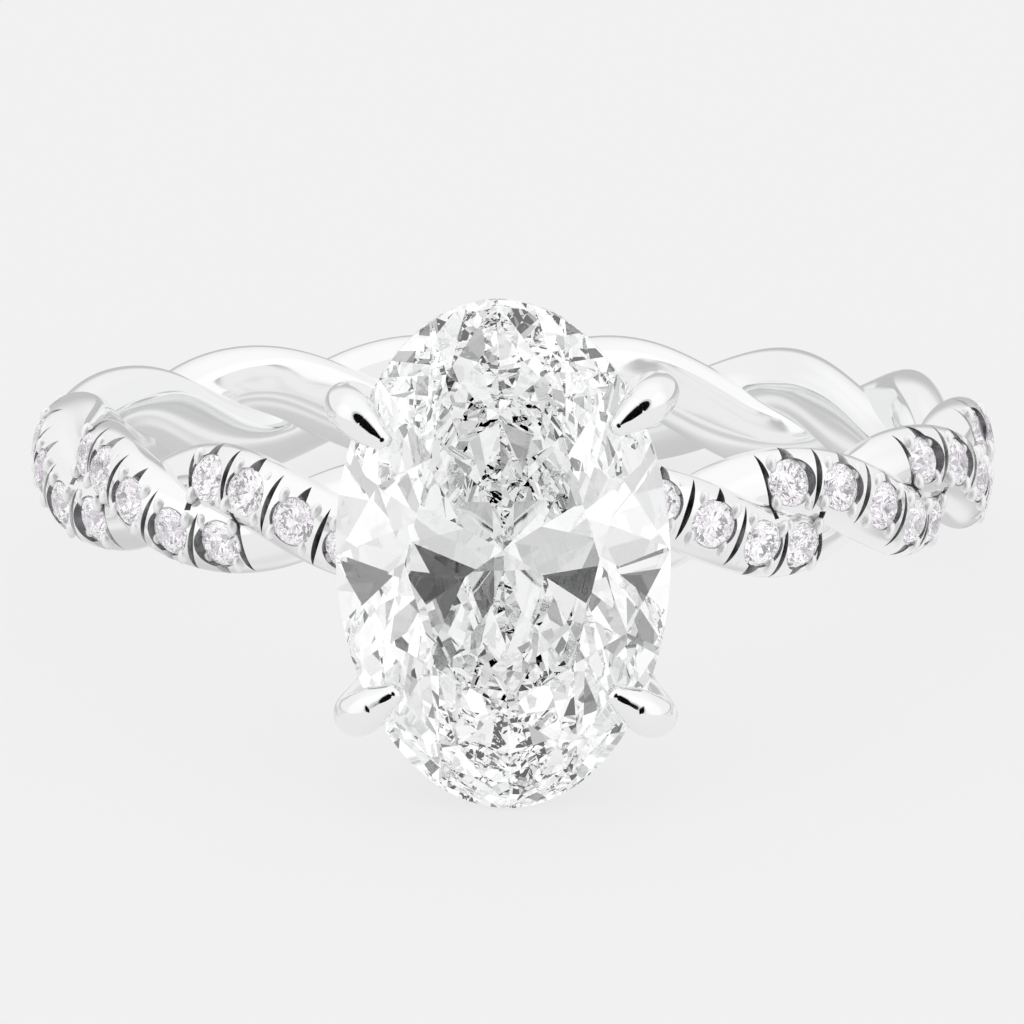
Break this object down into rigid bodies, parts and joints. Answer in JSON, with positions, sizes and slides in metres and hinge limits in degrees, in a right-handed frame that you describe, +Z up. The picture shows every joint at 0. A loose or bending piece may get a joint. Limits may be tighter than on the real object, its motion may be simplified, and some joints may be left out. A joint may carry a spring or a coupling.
{
  "type": "twisted shank ring",
  "caption": "Finger ring: two strands twisted into a shank with small stones set over its front, and a four-claw basket that holds a large oval stone.",
  "frame": {"origin": "centre of the part's box, on the surface that the ring lies on", "axes": "+Z up from that surface, the oval stone faces -Y and a little up, +X to the right of someone who faces the stone; the finger axis leans 10 degrees from +Z towards +Y, because the ring lies on its side on the stone's lower end and two strands at the back"},
  "size_m": [0.0206, 0.0254, 0.0107],
  "materials": {
    "white_gold": "high polish",
    "centre_diamond": "faceted, polished",
    "pave_diamond": "faceted, polished"
  },
  "bodies": {
    "root": {"ring_mount": "white_gold", "centre_stone": "centre_diamond", "pave_stone_01": "pave_diamond", "pave_stone_02": "pave_diamond", "pave_stone_03": "pave_diamond", "pave_stone_04": "pave_diamond", "pave_stone_05": "pave_diamond", "pave_stone_06": "pave_diamond", "pave_stone_07": "pave_diamond", "pave_stone_08": "pave_diamond", "pave_stone_09": "pave_diamond", "pave_stone_10": "pave_diamond", "pave_stone_11": "pave_diamond", "pave_stone_12": "pave_diamond", "pave_stone_13": "pave_diamond", "pave_stone_14": "pave_diamond", "pave_stone_15": "pave_diamond", "pave_stone_16": "pave_diamond", "pave_stone_17": "pave_diamond", "pave_stone_18": "pave_diamond", "pave_stone_19": "pave_diamond", "pave_stone_20": "pave_diamond", "pave_stone_21": "pave_diamond", "pave_stone_22": "pave_diamond", "pave_stone_23": "pave_diamond", "pave_stone_24": "pave_diamond", "pave_stone_25": "pave_diamond", "pave_stone_26": "pave_diamond", "pave_stone_27": "pave_diamond", "pave_stone_28": "pave_diamond", "pave_stone_29": "pave_diamond", "pave_stone_30": "pave_diamond", "pave_stone_31": "pave_diamond", "pave_stone_32": "pave_diamond", "pave_stone_33": "pave_diamond"}
  },
  "joints": []
}
